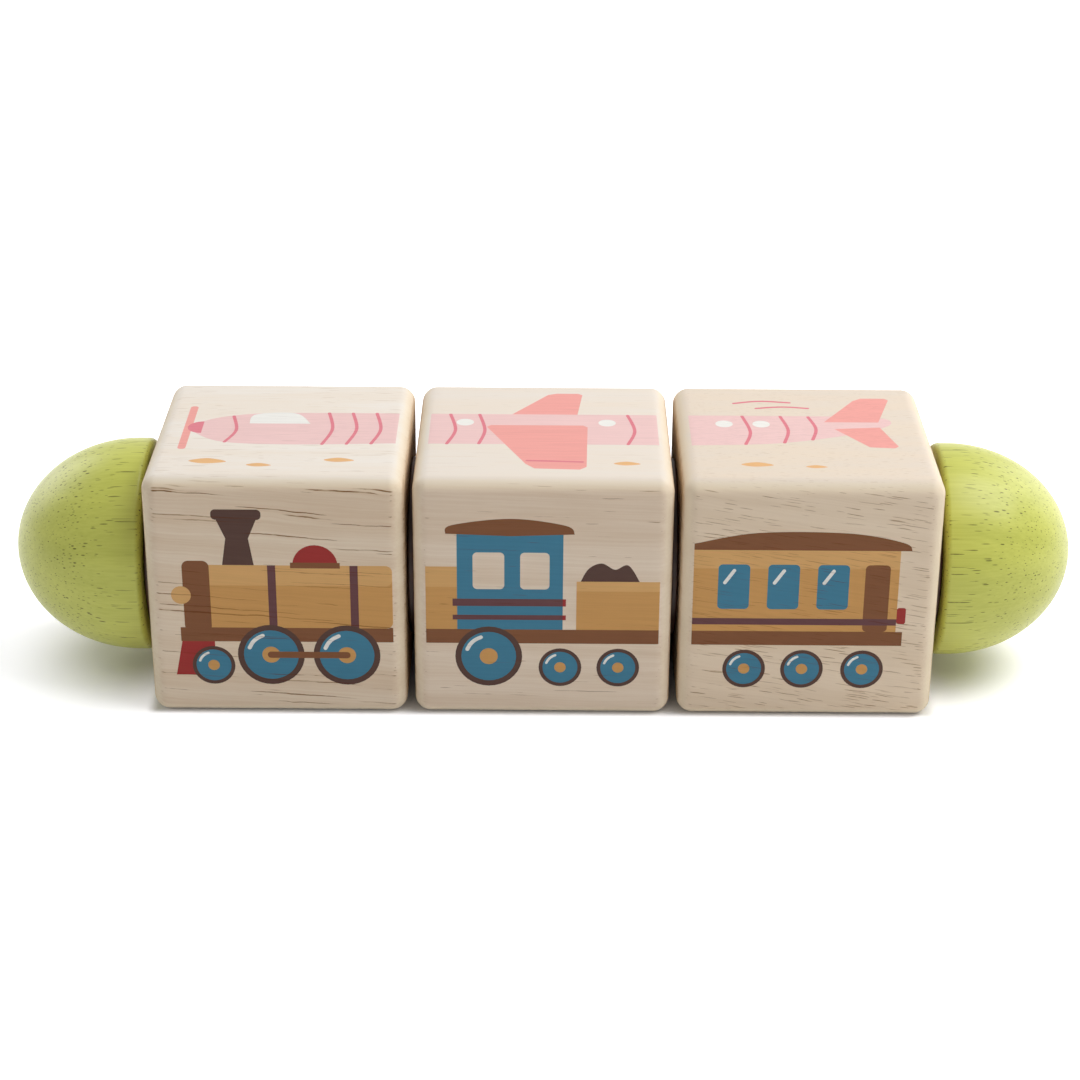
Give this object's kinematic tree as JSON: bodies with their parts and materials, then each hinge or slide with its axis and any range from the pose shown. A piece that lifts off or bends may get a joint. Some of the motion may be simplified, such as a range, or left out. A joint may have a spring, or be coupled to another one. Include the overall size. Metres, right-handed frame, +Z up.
{
  "type": "wooden twisting puzzle",
  "caption": "Wooden twisting puzzle: pale picture blocks that turn one by one on a hidden dowel, between two green domed grips.",
  "frame": {"origin": "centre of the bottom of the object's box: on the middle block's bottom face, halfway along the dowel", "axes": "+X along the dowel towards the right dome, +Z up, and the front pictures face -Y"},
  "size_m": [0.2434, 0.058, 0.058],
  "materials": {
    "block_wood": "sanded pale hardwood with fine dark pores, printed pictures",
    "dowel_wood": "turned, sanded",
    "green_paint": "semi-matt yellow-green paint, thin enough to show the pores",
    "disc_plastic": "dark brown moulded plastic with fine rings, satin"
  },
  "bodies": {
    "spindle": {"axle_dowel": "dowel_wood", "left_dome": "green_paint", "right_dome": "green_paint", "left_end_disc": "disc_plastic", "left_spacer_disc": "disc_plastic", "right_spacer_disc": "disc_plastic", "right_end_disc": "disc_plastic"},
    "left_block": {"left_block": "block_wood"},
    "middle_block": {"middle_block": "block_wood"},
    "right_block": {"right_block": "block_wood"}
  },
  "joints": [
    {"name": "left_block_twist", "type": "hinge", "parent": "spindle", "child": "left_block", "pos_m": [-0.0593, 0, 0.029], "axis": [1, 0, 0], "continuous": true},
    {"name": "middle_block_twist", "type": "hinge", "parent": "spindle", "child": "middle_block", "pos_m": [0, 0, 0.029], "axis": [1, 0, 0], "continuous": true},
    {"name": "right_block_twist", "type": "hinge", "parent": "spindle", "child": "right_block", "pos_m": [0.0593, 0, 0.029], "axis": [1, 0, 0], "continuous": true}
  ]
}
